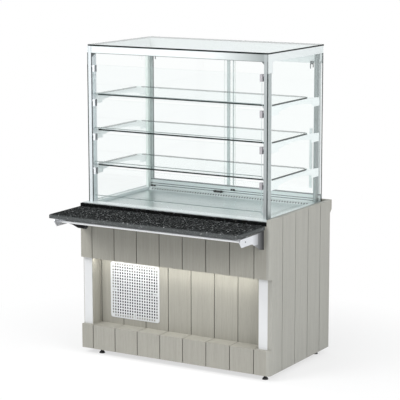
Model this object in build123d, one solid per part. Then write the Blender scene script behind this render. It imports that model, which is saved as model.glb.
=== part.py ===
from build123d import *
import math
import os

# Refrigerated display case. Millimetres. The origin is the middle of the whole case's
# footprint on the floor; X runs to the right of a customer who faces it, Y runs from the
# customer (front, -Y) to the service side (rear, +Y), and Z is up.

# Overall sizes
overall_w = 1200.0
body_d = 705.0
foot_h = 30.0
end_cladding_h = 843.0
slab_top_h = 828.5
end_cladding_t = 22.0
apron_t = 20.0
apron_h = 71.0
apron_chamfer = 17.0

# Plank cladding of the base
cladding_t = 22.0
plank_w = 147.0
end_first_plank = 141.0
end_plank_w = 148.0
groove_w = 4.5
groove_d = 4.0
end_edge_r = 16.0
plinth_h = 137.5
plinth_board_t = 18.0
recess_top_h = 522.0
recess_d = 92.0
recess_panel_t = 12.0
skin_t = 3.5

# Base frame, floor pan and feet
leg_w = 40.0
rear_leg_d = 28.0
side_rail_w = 23.0
rail_h = 23.0
tube_wall = 2.0
pan_t = 3.0
pan_fold_h = 12.0
bush_d = 24.0
foot_stem_d = 10.0
foot_pad_d = 34.0
foot_pad_h = 9.0
foot_fit = 0.05
left_foot_inset = 104.0
right_foot_inset = 49.0
front_foot_inset = 45.0
rear_foot_inset = 70.0
corner_cover_w = 53.0
cover_t = 1.5
return_board_t = 4.0
rear_panel_t = 20.0

# Recess light and ventilation grille
light_w = 18.0
light_h = 8.0
grille_w = 322.0
grille_h = 320.0
grille_left = 138.0
grille_bottom_h = 176.0
grille_t = 1.5
grille_standoff = 3.5
grille_corner_r = 16.0
grille_hole_w = 8.5
grille_hole_h = 10.0
grille_pitch_x = 16.1
grille_pitch_z = 16.4
grille_columns = 19
grille_rows = 19
grille_slot_l = 26.0
grille_slot_w = 3.0
vent_margin = 16.0

# Worktop and tray slide
slab_t = 20.0
tray_w = 1169.0
tray_d = 294.0
tray_gap = 10.0
tray_top_h = 814.5
tray_t = 22.5
tray_bevel = 4.0
tray_arm_inset = 9.5
tray_arm_t = 5.0
tray_arm_gap = 9.0
tray_arm_reach = 270.0
tray_arm_nose = 12.0
tray_arm_depth = 53.0
tray_arm_setback = 23.0
tray_arm_notch = 137.0
tray_arm_tail = 36.0
tray_seat_l = 105.0
tray_seat_w = 24.0
tray_seat_t = 4.0
tray_spacer_d = 14.0
tray_spacer_inset = 13.0
fold_reach = 112.0
fold_drop = 47.5
fold_pin_d = 12.0
fold_pin_fit = 0.06
fold_hole_depth = 3.5
fold_pin_end_gap = 0.3
wall_bracket_gap = 0.8
wall_bracket_t = 4.0
wall_bracket_top_gap = 7.5
wall_bracket_h = 100.5
wall_bracket_reach = 130.0
wall_flange_w = 33.0
wall_flange_cut = 10.0
wall_screw_d = 8.0
wall_screw_inset = 19.0
tray_tube_d = 18.0
tray_tube_reach = 210.0
tray_tube_drop = 29.0
tray_tube_screw_d = 6.0

# Refrigerated well
flange_t = 5.0
flange_side_inset = 8.0
flange_front_inset = 15.0
flange_rear_inset = 5.0
well_side_inset = 55.0
well_front_inset = 76.0
well_back = 642.0
well_depth = 230.0
well_wall = 2.0
foam_side = 25.0
foam_front = 10.0
foam_rear = 13.0
foam_bottom = 20.0
slab_clear = 5.0
ledge_w = 8.0
ledge_t = 4.0
deck_drop = 15.5
deck_t = 2.0
deck_clear = 2.0
strip_d = 28.0
strip_rear_gap = 5.0
strip_slots = 60
strip_slot_w = 8.5
strip_slot_h = 15.0
strip_end = 15.0

# Glass superstructure
glass_inset = 23.0
glass_front_inset = 52.0
glass_back = 689.5
glass_top_h = 1709.0
top_glass_t = 8.0
top_glass_rear = 14.0
side_glass_t = 6.0
front_post_w = 26.0
front_post_d = 49.0
corner_cap_h = 100.0
rear_post_w = 16.0
rear_post_d = 28.0
rear_post_front = 631.0
top_rail_h = 40.0
front_rail_d = 20.0
cleat = 20.0
fit_gap = 0.3

# Shelves and their arched brackets
shelf_count = 3
shelf_top_h = 1434.0
shelf_pitch = 197.0
shelf_t = 8.0
shelf_front_inset = 102.0
shelf_d = 448.0
shelf_side_gap = 7.0
shelf_corner_r = 30.0
arm_t = 3.2
arm_flange_w = 17.0
arm_flange_t = 3.0
arm_end_h = 51.0
arm_step_h = 37.0
arm_mid_h = 20.0
arm_front_l = 81.0
arm_rear_l = 86.0
arm_rear_rise = 15.0
arm_rear_slope = 6.0

# Customer flaps
flap_count = 4
flap_row_top_h = 1578.0
flap_pitch = 190.0
flap_t = 5.0
flap_above = 21.0
flap_below = 137.0
flap_lip_h = 22.0
flap_lip_in = 20.0
flap_setback = 2.0
clamp_w = 15.0
clamp_h = 38.0
clamp_d = 22.0
clamp_lead = 4.0
clamp_gap = 8.5
clamp_grip = 10.5
pivot_above = 11.0
pivot_behind = 6.5
pin_d = 8.0
pin_fit = 0.06
pin_depth = 8.0

# Rear sill, header and sliding doors
sill_d = 30.0
sill_h = 42.5
header_h = 95.0
rib_rows = 2
rib_first = 6.3
rib_pitch = 12.0
rib_h = 4.0
rib_cut = 3.0
door_t = 5.0
door_play = 1.5
track_depth = 8.0
header_track_depth = 12.0
door_lift_gap = 4.0
door_gap = 7.0
door_front_edge = 4.0
door_overlap = 77.0
door_overlap_left = 12.5
door_end_clear = 1.5
stile_w = 35.0
stile_t = 10.4
stile_wrap = 5.0
stile_end_clear = 1.5
meeting_strip_w = 20.0
meeting_strip_t = 2.6
meeting_strip_inset = 18.0
seal_inset = 12.0
seal_w = 6.0
grip_w = 17.0
grip_t = 7.5
grip_h = 335.0
grip_right_inset = 51.0
grip_lift = 29.0

# Condensing unit
fan_d = 166.0
fan_tip_gap = 3.0
fan_hub_d = 46.0
fan_hub_l = 24.0
fan_blades = 5
fan_blade_t = 2.0
fan_pitch_deg = 32.0
shroud_t = 16.0
shroud_rim_t = 2.5
motor_d = 52.0
motor_l = 34.0
fan_shaft_d = 6.0
fan_shaft_fit = 0.05
condenser_w = 290.0
condenser_h = 270.0
condenser_d = 44.0
condenser_front = 116.0
condenser_lift = 150.0
fin_t = 1.5
fin_pitch = 10.0
coil_tube_d = 9.5
coil_rows = 8
end_plate_t = 2.0
unit_plate_t = 4.0
unit_plate_depth = 380.0
compressor_d = 170.0
compressor_h = 178.0
compressor_y = 330.0
mount_d = 28.0
mount_h = 18.0
pipe_d = 8.0
drier_d = 24.0
drier_l = 90.0

# Evaporator in the well
evap_w = 560.0
evap_d = 150.0
evap_h = 120.0
evap_left = 330.0
evap_lift = 30.0

# Electrical box on the service side
box_w = 220.0
box_h = 130.0
box_d = 90.0
box_right_inset = 120.0
box_lift = 420.0
fascia_margin = 12.0
fascia_t = 2.0
rocker_w = 14.0
rocker_h = 26.0
rocker_d = 9.0
rocker_tilt_deg = 8.0
rocker_shaft_d = 3.0
display_w = 76.0
display_h = 34.0
display_t = 3.0
inlet_w = 27.0
inlet_h = 20.0

# Planes and edges worked out from the sizes above
tray_reach = tray_gap + tray_d
front_y = -(tray_reach + body_d + apron_t) / 2 + tray_reach
rear_y = front_y + body_d
body_left = -overall_w / 2
body_right = overall_w / 2 - end_cladding_t
mid_x = (body_left + body_right) / 2
base_z = foot_h
pan_z = base_z + pan_fold_h
floor_z = pan_z + pan_t
plinth_z = base_z + plinth_h
recess_top_z = base_z + recess_top_h
recess_y = front_y + recess_d
slab_top = base_z + slab_top_h
slab_z = slab_top - slab_t
cladding_back = front_y + cladding_t
rear_panel_y = rear_y - rear_panel_t
rim_z = slab_top + flange_t
well_left = body_left + well_side_inset
well_right = body_right - well_side_inset
well_front = front_y + well_front_inset
well_rear = front_y + well_back
well_z = slab_top - well_depth
deck_z = slab_top + flange_t - deck_drop
glass_left = body_left + glass_inset
glass_right = body_right - glass_inset
glass_y = front_y + glass_front_inset
glass_rear = front_y + glass_back
glass_top = base_z + glass_top_h
frame_top = glass_top - top_glass_t
rail_z = frame_top - top_rail_h
front_post_back = glass_y + front_post_d
rear_post_y = front_y + rear_post_front
rear_post_back = rear_post_y + rear_post_d
pane_in_left = glass_left + side_glass_t
pane_in_right = glass_right - side_glass_t
arm_room = arm_t + 2 * fit_gap
door_zone_left = pane_in_left + door_end_clear
door_zone_right = pane_in_right - door_end_clear
sill_y = glass_rear - sill_d
sill_top = rim_z + sill_h
header_z = frame_top - header_h
door_a_y = sill_y + door_front_edge
door_b_y = door_a_y + door_t + door_gap
unit_x = body_left + grille_left + grille_w / 2
unit_plate_z = floor_z + unit_plate_t
fascia_y = rear_y + fascia_t
box_right = body_right - box_right_inset
box_left = box_right - box_w
box_z = base_z + box_lift
box_mid_z = box_z + box_h / 2


def block(x0, x1, y0, y1, z0, z1):
    """A box between two X, two Y and two Z planes."""
    middle = Pos((x0 + x1) / 2, (y0 + y1) / 2, (z0 + z1) / 2)
    return middle * Box(x1 - x0, y1 - y0, z1 - z0)


def rod_x(x0, x1, y, z, d):
    """A round bar along X."""
    return Pos((x0 + x1) / 2, y, z) * Rot(0, 90, 0) * Cylinder(d / 2, x1 - x0)


def rod_y(x, y0, y1, z, d):
    """A round bar along Y."""
    return Pos(x, (y0 + y1) / 2, z) * Rot(90, 0, 0) * Cylinder(d / 2, y1 - y0)


def rod_z(x, y, z0, z1, d):
    """A round bar along Z."""
    return Pos(x, y, (z0 + z1) / 2) * Cylinder(d / 2, z1 - z0)


def mirrored(shape):
    """The same piece on the other side of the body's middle plane."""
    return mirror(shape, about=Plane.YZ.offset(mid_x))


def side_profile(points, x0, x1):
    """A plate between two X planes, cut to an outline given as (y, z) points."""
    outline = Polyline(*[(x0, y, z) for y, z in points], close=True)
    return extrude(make_face(outline), amount=x1 - x0, dir=(1, 0, 0))


def save(name, *solids):
    """Write one node: a single solid, or a group of separate ones."""
    shape = solids[0] if len(solids) == 1 else Compound(children=list(solids))
    export_step(shape, f"parts/{name}.step")


def front_grooves():
    """X places of the joints between the front planks, even about the body's middle."""
    count = int((body_right - body_left) // plank_w)
    first = mid_x - (count - 1) / 2 * plank_w
    return [first + i * plank_w for i in range(count)]


def end_grooves():
    """Y places of the joints between the planks of the end cladding."""
    count = int((body_d - end_first_plank - groove_w) // end_plank_w) + 1
    return [front_y + end_first_plank + i * end_plank_w for i in range(count)]


def feet_places():
    """X and Y of each foot's screw, with its node's name."""
    left = body_left + left_foot_inset
    right = overall_w / 2 - right_foot_inset
    front = front_y + front_foot_inset
    rear = rear_y - rear_foot_inset
    return {
        "foot_front_left": (left, front),
        "foot_front_right": (right, front),
        "foot_rear_left": (left, rear),
        "foot_rear_right": (right, rear),
    }


def tube_z(x0, x1, y0, y1, z0, z1):
    """An upright rectangular tube, open at its ends."""
    outer = block(x0, x1, y0, y1, z0, z1)
    return outer - block(x0 + tube_wall, x1 - tube_wall, y0 + tube_wall, y1 - tube_wall, z0, z1)


def base_frame():
    """The welded base frame: four legs and the ring of rails that carries the worktop."""
    leg_left = body_left + skin_t + 2.0
    leg_front = cladding_back + 3.0
    leg_top = slab_z - rail_h
    rear_leg_front = rear_panel_y - rear_leg_d
    front_leg = tube_z(leg_left, leg_left + leg_w, leg_front, leg_front + leg_w, floor_z, leg_top)
    rear_leg = tube_z(leg_left, leg_left + leg_w, rear_leg_front, rear_panel_y, floor_z, leg_top)
    side_rail = block(leg_left, leg_left + side_rail_w, leg_front + leg_w, rear_leg_front, leg_top, slab_z)
    right_end = 2 * mid_x - leg_left
    front_rail = block(leg_left, right_end, leg_front, leg_front + leg_w, leg_top, slab_z)
    rear_rail = block(leg_left, right_end, rear_leg_front, rear_panel_y, leg_top, slab_z)
    for rail_y0, rail_y1 in ((leg_front, leg_front + leg_w), (rear_leg_front, rear_panel_y)):
        core = block(leg_left + tube_wall, right_end - tube_wall, rail_y0 + tube_wall,
                     rail_y1 - tube_wall, leg_top + tube_wall, slab_z - tube_wall)
        front_rail = front_rail - core
        rear_rail = rear_rail - core
    lower_rail = block(leg_left + leg_w, right_end - leg_w, rear_leg_front, rear_panel_y,
                       floor_z, floor_z + rail_h)
    frame = front_rail + rear_rail + lower_rail
    for piece in (front_leg, rear_leg, side_rail):
        frame = frame + piece + mirrored(piece)
    return frame


def floor_pan():
    """The folded steel floor of the base, with a threaded bush for each foot."""
    left = body_left + skin_t
    right = body_right - skin_t
    front = cladding_back
    back = rear_panel_y
    pan = block(left, right, front, back, base_z, floor_z)
    pan = pan - block(left + pan_t, right - pan_t, front + pan_t, back - pan_t, base_z, pan_z)
    for x, y in feet_places().values():
        pan = pan + rod_z(x, y, base_z, pan_z, bush_d)
    for x, y in feet_places().values():
        pan = pan - rod_z(x, y, base_z - 1, floor_z + 1, foot_stem_d + 2 * foot_fit)
    return pan


def foot(x, y):
    """A levelling foot: a tapered pad, a hexagon for the spanner and a screw."""
    pad = Pos(x, y, foot_pad_h / 2) * Cone(foot_pad_d / 2, foot_pad_d / 2 - 4, foot_pad_h)
    hexagon = extrude(Pos(x, y, foot_pad_h) * RegularPolygon(9.5, 6), amount=7)
    stem_top = floor_z + 18
    return pad + hexagon + rod_z(x, y, foot_pad_h, stem_top, foot_stem_d)


def side_skins():
    """The thin laminate sheets that close the two ends of the base."""
    skin = block(body_left, body_left + skin_t, cladding_back + 2, rear_panel_y, base_z, slab_z)
    return skin, mirrored(skin)


def end_cladding():
    """The planked panel on the right end, cut back beside the front recess."""
    back = rear_y
    top = base_z + end_cladding_h
    outer = overall_w / 2
    panel = block(body_right, outer, front_y, back, base_z, top)
    corner = panel.edges().filter_by(Axis.Z).sort_by(Axis.X)[-2:].sort_by(Axis.Y)[0]
    panel = fillet(corner, end_edge_r)
    for y in end_grooves():
        panel = panel - block(outer - groove_d, outer + 1, y - groove_w / 2, y + groove_w / 2,
                              base_z - 1, top + 1)
    notch_back = cladding_back + 2
    return panel - block(body_right - 1, outer + 1, front_y - 1, notch_back, plinth_z, recess_top_z)


def upper_cladding():
    """The planked panel across the front, between the worktop and the recess."""
    panel = block(body_left, body_right, front_y, cladding_back, recess_top_z, slab_z)
    for x in front_grooves():
        panel = panel - block(x - groove_w / 2, x + groove_w / 2, front_y - 1, front_y + groove_d,
                              recess_top_z - 1, slab_z + 1)
    return panel


def plinth():
    """The planked plinth: a front board and the board on top of it, between the corners."""
    board = block(body_left, body_right, front_y, cladding_back, base_z, plinth_z)
    inset = skin_t + corner_cover_w + return_board_t
    top = block(body_left + inset, body_right - inset, cladding_back, recess_y,
                plinth_z - plinth_board_t, plinth_z)
    shape = board + top
    for x in front_grooves():
        slot = (x - groove_w / 2, x + groove_w / 2)
        shape = shape - block(*slot, front_y - 1, front_y + groove_d, base_z - 1, plinth_z + 1)
        shape = shape - block(*slot, front_y - 1, recess_y + 1, plinth_z - groove_d, plinth_z + 1)
    return shape


def corner_covers():
    """The white channels that cover the front legs inside the recess."""
    left = body_left + skin_t
    right = left + corner_cover_w
    front = cladding_back + 1
    back = recess_y - 1
    cover = block(left, right, front, back, plinth_z - 20, recess_top_z + 20)
    hollow = block(left + cover_t, right - cover_t, front + cover_t, back + 1,
                   plinth_z - 21, recess_top_z + 21)
    cover = cover - hollow
    return cover, mirrored(cover)


def return_boards():
    """The laminate boards on the inner side of the corner covers."""
    left = body_left + skin_t + corner_cover_w
    board = block(left, left + return_board_t, cladding_back + 2, recess_y, plinth_z, recess_top_z)
    return board, mirrored(board)


def recess_panel():
    """The planked board at the back of the recess, open behind the grille."""
    left = body_left + skin_t
    right = body_right - skin_t
    top = well_z - foam_bottom - 1
    panel = block(left, right, recess_y, recess_y + recess_panel_t, floor_z, top)
    for x in front_grooves():
        panel = panel - block(x - groove_w / 2, x + groove_w / 2, recess_y - 1, recess_y + groove_d,
                              plinth_z, recess_top_z)
    x0 = body_left + grille_left + vent_margin
    z0 = base_z + grille_bottom_h + vent_margin
    vent = block(x0, x0 + grille_w - 2 * vent_margin, recess_y - 1, recess_y + recess_panel_t + 1,
                 z0, z0 + grille_h - 2 * vent_margin)
    return panel - vent


def recess_light():
    """The light strip behind the lower edge of the upper cladding."""
    inset = skin_t + corner_cover_w + return_board_t + 6
    left = body_left + inset
    right = body_right - inset
    bar = block(left, right, cladding_back, cladding_back + light_w,
                recess_top_z + 2, recess_top_z + 2 + light_h)
    edges = bar.edges().filter_by(Axis.X).sort_by(Axis.Z)[:2]
    return chamfer(edges, 2.5)


def grille():
    """The perforated plate over the condenser's air inlet, folded back at its edges."""
    cx = body_left + grille_left + grille_w / 2
    cz = base_z + grille_bottom_h + grille_h / 2
    face_y = recess_y - grille_standoff
    outline = RectangleRounded(grille_w, grille_h, grille_corner_r)
    last_column = grille_columns - 1
    last_row = grille_rows - 1
    holes = Sketch()
    for column in range(grille_columns):
        for row in range(grille_rows):
            at_side = column in (0, last_column)
            at_end = row in (0, last_row)
            in_side_slot = row == last_row / 2 and (column < 2 or column > last_column - 2)
            in_end_slot = column == last_column / 2 and (row < 2 or row > last_row - 2)
            if not ((at_side and at_end) or in_side_slot or in_end_slot):
                x = (column - last_column / 2) * grille_pitch_x
                z = (row - last_row / 2) * grille_pitch_z
                holes = holes + Pos(x, z) * Rectangle(grille_hole_w, grille_hole_h)
    slot_x = last_column / 2 * grille_pitch_x - grille_pitch_x / 2
    slot_y = last_row / 2 * grille_pitch_z - grille_pitch_z / 2
    for side in (-1, 1):
        holes = holes + Pos(side * slot_x, 0) * Rectangle(grille_slot_l, grille_slot_w)
        holes = holes + Pos(0, side * slot_y) * Rectangle(grille_slot_w, grille_slot_l)
    plane = Plane(origin=(cx, face_y, cz), x_dir=(1, 0, 0), z_dir=(0, -1, 0))
    face = plane * (outline - holes)
    plate = extrude(face, amount=-grille_t, dir=(0, -1, 0))
    inner = RectangleRounded(grille_w - 2 * grille_t, grille_h - 2 * grille_t, grille_corner_r - grille_t)
    fold = extrude(plane * (outline - inner), amount=grille_standoff, dir=(0, 1, 0))
    return plate + fold


def rear_panel():
    """The panel on the service side, with rows of air slots and the electrical opening."""
    left = body_left
    panel = block(left, body_right, rear_panel_y, rear_y, base_z, slab_z)
    slot_w, slot_h, slot_pitch_x, slot_pitch_z = 150.0, 8.0, 180.0, 18.0
    for column in range(3):
        for row in range(12):
            x0 = left + 110 + column * slot_pitch_x
            z0 = base_z + 120 + row * slot_pitch_z
            panel = panel - block(x0, x0 + slot_w, rear_panel_y - 1, rear_y + 1, z0, z0 + slot_h)
    opening = block(box_left, box_right, rear_panel_y - 1, rear_y + 1, box_z, box_z + box_h)
    return panel - opening


def rear_apron():
    """The board behind the worktop, chamfered along its lower outer edge."""
    top = base_z + end_cladding_h
    out = rear_y + apron_t
    outline = [(rear_y, top), (out, top), (out, top - apron_h + apron_chamfer),
               (rear_y + 2, top - apron_h), (rear_y, top - apron_h)]
    return side_profile(outline, body_left, overall_w / 2)


def worktop():
    """The stone slab round the well."""
    slab = block(body_left, body_right, front_y, rear_y, slab_z, slab_top)
    front_edges = slab.edges().filter_by(Axis.X).sort_by(Axis.Y)[:2]
    slab = chamfer(front_edges, 1.5)
    cut = block(well_left - slab_clear, well_right + slab_clear, well_front - slab_clear,
                well_rear + slab_clear, slab_z - 1, slab_top + 1)
    return slab - cut


def tray():
    """The stone tray slide, bevelled round its upper edge."""
    top = base_z + tray_top_h
    x0 = mid_x - tray_w / 2
    slab = block(x0, x0 + tray_w, front_y - tray_reach, front_y - tray_gap, top - tray_t, top)
    rim = slab.edges().group_by(Axis.Z)[-1]
    return chamfer(rim, tray_bevel)


def tray_under():
    """Height of the tray slide's underside."""
    return base_z + tray_top_h - tray_t


def fold_axis():
    """Y and Z of the line that the tray slide folds about."""
    return front_y - fold_reach, tray_under() - fold_drop


def tube_axis():
    """Y and Z of the tube's middle line."""
    return front_y - tray_tube_reach, tray_under() - tray_tube_drop


def tray_arm():
    """The left arm of the tray slide: a shaped plate with a seat and two spacers for the slab."""
    left = body_left + tray_arm_inset
    inner = left + tray_arm_t
    under = tray_under()
    top = under - tray_arm_gap
    tip = front_y - tray_arm_reach
    low = under - tray_arm_depth
    axis_y, axis_z = fold_axis()
    tail = axis_y + tray_arm_tail
    seat_y = tip + 0.7 * tray_arm_nose
    outline = [(tail, top), (seat_y, top), (tip, top - tray_arm_nose), (tip + tray_arm_setback, low),
               (front_y - tray_arm_notch, low), (axis_y, axis_z - 1.5 * fold_pin_d),
               (tail, axis_z - 1.5 * fold_pin_d)]
    arm = side_profile(outline, left, inner)
    seat_x = inner + tray_seat_w
    seat_back = seat_y + tray_seat_l
    arm = arm + block(inner, seat_x, seat_y, seat_back, top - tray_seat_t, top)
    for y in (seat_y + tray_spacer_inset, seat_back - tray_spacer_inset):
        arm = arm + rod_z(seat_x - tray_seat_w / 2, y, top, under, tray_spacer_d)
    pin_hole = rod_x(inner - fold_hole_depth, inner + 1, axis_y, axis_z, fold_pin_d + 2 * fold_pin_fit)
    screw_hole = rod_x(left - 1, inner + 1, *tube_axis(), tray_tube_screw_d)
    return arm - pin_hole - screw_hole


def tray_wall_bracket():
    """The left wall bracket: a plate with a flange on the cladding, and the pin for the arm."""
    arm_inner = body_left + tray_arm_inset + tray_arm_t
    left = arm_inner + wall_bracket_gap
    axis_y, axis_z = fold_axis()
    top = tray_under() - wall_bracket_top_gap
    low = top - wall_bracket_h
    nose = front_y - wall_bracket_reach
    outline = [(front_y, top), (nose, top), (nose, axis_z - fold_pin_d / 2),
               (axis_y + 4, axis_z - 1.5 * fold_pin_d), (front_y - 49, low + 12), (front_y, low)]
    plate = side_profile(outline, left, left + wall_bracket_t)
    flange = block(left, left + wall_flange_w, front_y - wall_bracket_t, front_y, low, top)
    corner = flange.edges().filter_by(Axis.Y).sort_by(Axis.Z)[:2].sort_by(Axis.X)[-1]
    flange = chamfer(corner, wall_flange_cut)
    screw = rod_y(left + wall_screw_inset, front_y - wall_bracket_t - 1, front_y + 1,
                  low + wall_screw_inset, wall_screw_d)
    pin = rod_x(arm_inner - fold_hole_depth + fold_pin_end_gap, left + 1, axis_y, axis_z, fold_pin_d)
    return plate + flange - screw + pin


def tray_tube():
    """The tube across the arms, under the tray slide."""
    end = tray_arm_inset + tray_arm_t
    return rod_x(body_left + end, body_right - end, *tube_axis(), tray_tube_d)


def well_liner():
    """The stainless well: the flange on the worktop, the tub and the deck's ledge."""
    flange = block(body_left + flange_side_inset, body_right - flange_side_inset,
                   front_y + flange_front_inset, rear_y - flange_rear_inset, slab_top, rim_z)
    tub = block(well_left, well_right, well_front, well_rear, well_z, slab_top)
    inside = block(well_left + well_wall, well_right - well_wall, well_front + well_wall,
                   well_rear - well_wall, well_z + well_wall, rim_z + 1)
    liner = flange + tub - inside
    ledge_z = deck_z - deck_t
    left = well_left + well_wall
    right = well_right - well_wall
    front = well_front + well_wall
    back = well_rear - well_wall
    ledge = block(left, right, front, back, ledge_z - ledge_t, ledge_z)
    ledge = ledge - block(left + ledge_w, right - ledge_w, front + ledge_w, back + 1,
                          ledge_z - ledge_t - 1, ledge_z + 1)
    liner = liner + ledge
    drain_x = mid_x
    drain_y = (well_front + well_rear) / 2
    spigot = rod_z(drain_x, drain_y, well_z - foam_bottom - 25, well_z + 1, 32)
    bore = rod_z(drain_x, drain_y, well_z - foam_bottom - 26, well_z + well_wall + 1, 27)
    liner = liner + spigot - bore
    for x, y in pipe_holes():
        liner = liner - rod_z(x, y, well_z - 1, well_z + well_wall + 1, pipe_d + 6)
    return liner


def well_foam():
    """The foam jacket round the tub, below the worktop."""
    top = slab_z - rail_h / 4
    low = well_z - foam_bottom
    jacket = block(well_left - foam_side, well_right + foam_side, well_front - foam_front,
                   well_rear + foam_rear, low, top)
    jacket = jacket - block(well_left, well_right, well_front, well_rear, well_z, top + 1)
    drain = rod_z(mid_x, (well_front + well_rear) / 2, low - 1, well_z + 1, 33)
    jacket = jacket - drain
    for x, y in pipe_holes():
        jacket = jacket - rod_z(x, y, low - 1, well_z + 1, pipe_d + 6)
    return jacket


def pipe_holes():
    """Where the liquid and suction pipes come up through the bottom of the well."""
    x = body_left + evap_left - 40
    y = front_y + 430
    return (x, y), (x, y + 60)


def deck():
    """The display deck: a folded plate with rows of air slots."""
    left = well_left + well_wall + deck_clear
    right = well_right - well_wall - deck_clear
    front = well_front + well_wall + deck_clear
    back = well_rear - well_wall - strip_d
    plate = block(left, right, front, back, deck_z - deck_t, deck_z)
    count = int((right - left) // 48) - 1
    start = (left + right) / 2 - (count - 1) / 2 * 48
    for i in range(count):
        x = start + i * 48
        plate = plate - block(x - 12, x + 12, front + 26, front + 30, deck_z - 3 * deck_t, deck_z + 1)
    return plate


def air_strip():
    """The slotted cold-air strip that rises from the deck to the rear rim."""
    left = well_left + well_wall + deck_clear
    right = well_right - well_wall - deck_clear
    foot_y = well_rear - well_wall - strip_d
    top_y = well_rear - well_wall - strip_rear_gap
    low = deck_z - deck_t
    high = rim_z
    outline = [(foot_y, low), (foot_y, deck_z), (top_y - deck_t, high), (top_y, high),
               (top_y, high - 2 * deck_t), (foot_y + 2 * deck_t, low)]
    strip = side_profile(outline, left, right)
    angle = math.degrees(math.atan2(high - deck_z, top_y - foot_y))
    pitch = (right - left - 2 * strip_end) / strip_slots
    mid_y = (foot_y + top_y) / 2
    mid_z = (deck_z + high) / 2 - 1
    slots = []
    for i in range(strip_slots):
        x = left + strip_end + (i + 0.5) * pitch
        slots.append(Pos(x, mid_y, mid_z) * Rot(angle, 0, 0) * Box(strip_slot_w, strip_slot_h, 6 * deck_t))
    return strip - slots


def front_posts():
    """The two front posts of the glass case, just inside the side panes."""
    inner = glass_left + front_post_w
    post = block(pane_in_left + fit_gap, inner, glass_y, front_post_back, rim_z, frame_top)
    post = fillet(post.edges().filter_by(Axis.Z).sort_by(Axis.Y)[:2], 2)
    for z in flap_pivots():
        post = post - rod_x(inner - pin_depth - 1, inner + 1, pivot_y(), z, pin_d + 2 * pin_fit)
    return post, mirrored(post)


def rear_posts():
    """The two slimmer rear posts, set in from the panes by the shelf arms."""
    left = pane_in_left + arm_room
    post = block(left, left + rear_post_w, rear_post_y, rear_post_back, rim_z, rail_z)
    edges = post.edges().filter_by(Axis.Z).sort_by(Axis.Y)[:2]
    post = fillet(edges, 2)
    return post, mirrored(post)


def top_frame():
    """The rails under the top pane: one across the front, and one with a corner cap along each side."""
    front = block(glass_left + front_post_w, glass_right - front_post_w, glass_y + 2,
                  glass_y + 2 + front_rail_d, rail_z, frame_top)
    inner = pane_in_left + arm_room + rear_post_w
    side = block(glass_left, inner, front_post_back, sill_y, rail_z, frame_top)
    side = side + block(glass_left, pane_in_left, sill_y, glass_rear, rail_z, frame_top)
    side = side + block(glass_left, pane_in_left, glass_y, front_post_back, frame_top - corner_cap_h, frame_top)
    return front, side, mirrored(side)


def corner_cleats():
    """The small gussets that tie the rails to the front posts."""
    z = rail_z
    x = glass_left + front_post_w
    y = glass_y + 2 + front_rail_d / 2
    across = Polyline((x, y, z), (x + cleat, y, z), (x, y, z - cleat), close=True)
    across = extrude(make_face(across), amount=6, dir=(0, 1, 0))
    y = front_post_back
    x = pane_in_left + fit_gap
    along = Polyline((x, y, z), (x, y + cleat, z), (x, y, z - cleat), close=True)
    along = extrude(make_face(along), amount=6, dir=(1, 0, 0))
    return across, along, mirrored(across), mirrored(along)


def top_pane():
    """The glass roof, standing out over the header behind."""
    pane = block(glass_left, glass_right, glass_y, glass_rear + top_glass_rear, frame_top, glass_top)
    corners = pane.edges().filter_by(Axis.Z)
    pane = fillet(corners, 10)
    return chamfer(pane.edges().group_by(Axis.Z)[-1], 1)


def side_pane():
    """The left side pane, notched at its upper front corner for the cap of the rail."""
    pane = block(glass_left, pane_in_left, glass_y, glass_rear, rim_z, rail_z)
    notch = block(glass_left - 1, pane_in_left + 1, glass_y - 1, front_post_back + fit_gap,
                  frame_top - corner_cap_h - fit_gap, rail_z + 1)
    return pane - notch


def shelf_bottoms():
    """Underside height of each glass shelf, from the top down."""
    return [base_z + shelf_top_h - shelf_t - i * shelf_pitch for i in range(shelf_count)]


def shelf(z):
    """One glass shelf, with rounded corners."""
    left = pane_in_left + shelf_side_gap
    right = pane_in_right - shelf_side_gap
    front = front_y + shelf_front_inset
    pane = block(left, right, front, front + shelf_d, z, z + shelf_t)
    return fillet(pane.edges().filter_by(Axis.Z), shelf_corner_r)


def shelf_arm(z):
    """A left shelf arm: an arched web between the posts, with a flange for the shelf."""
    x0 = pane_in_left + fit_gap
    x1 = x0 + arm_t
    start = front_post_back
    end = rear_post_back
    low = z - arm_end_h
    front_end = start + arm_front_l
    rear_start = end - arm_rear_l
    rear_z = low + arm_rear_rise
    web = block(x0, x1, start, end, low, z)
    sides = Polyline((x0, front_end, z - arm_step_h), (x0, front_end, low - 1), (x0, rear_start, low - 1),
                     (x0, rear_start, rear_z))
    bow = ThreePointArc((x0, rear_start, rear_z), (x0, (front_end + rear_start) / 2, z - arm_mid_h),
                        (x0, front_end, z - arm_step_h))
    web = web - extrude(make_face(sides + bow), amount=arm_t, dir=(1, 0, 0))
    wedge = [(rear_start, z + 1), (rear_start, z), (end + 1, z - arm_rear_slope), (end + 1, z + 1)]
    web = web - side_profile(wedge, x0 - 1, x1 + 1)
    flange = block(x1, x1 + arm_flange_w, start, rear_start, z - arm_flange_t, z)
    return web + flange


def flap_pivots():
    """Height of each flap's pivot, from the top down."""
    return [base_z + flap_row_top_h - i * flap_pitch + pivot_above for i in range(flap_count)]


def flap_y():
    """The front face of the flaps."""
    return glass_y + flap_setback


def pivot_y():
    """The flaps' pivot line, a little behind the acrylic so that they hang shut."""
    return flap_y() + flap_t / 2 + pivot_behind


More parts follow.
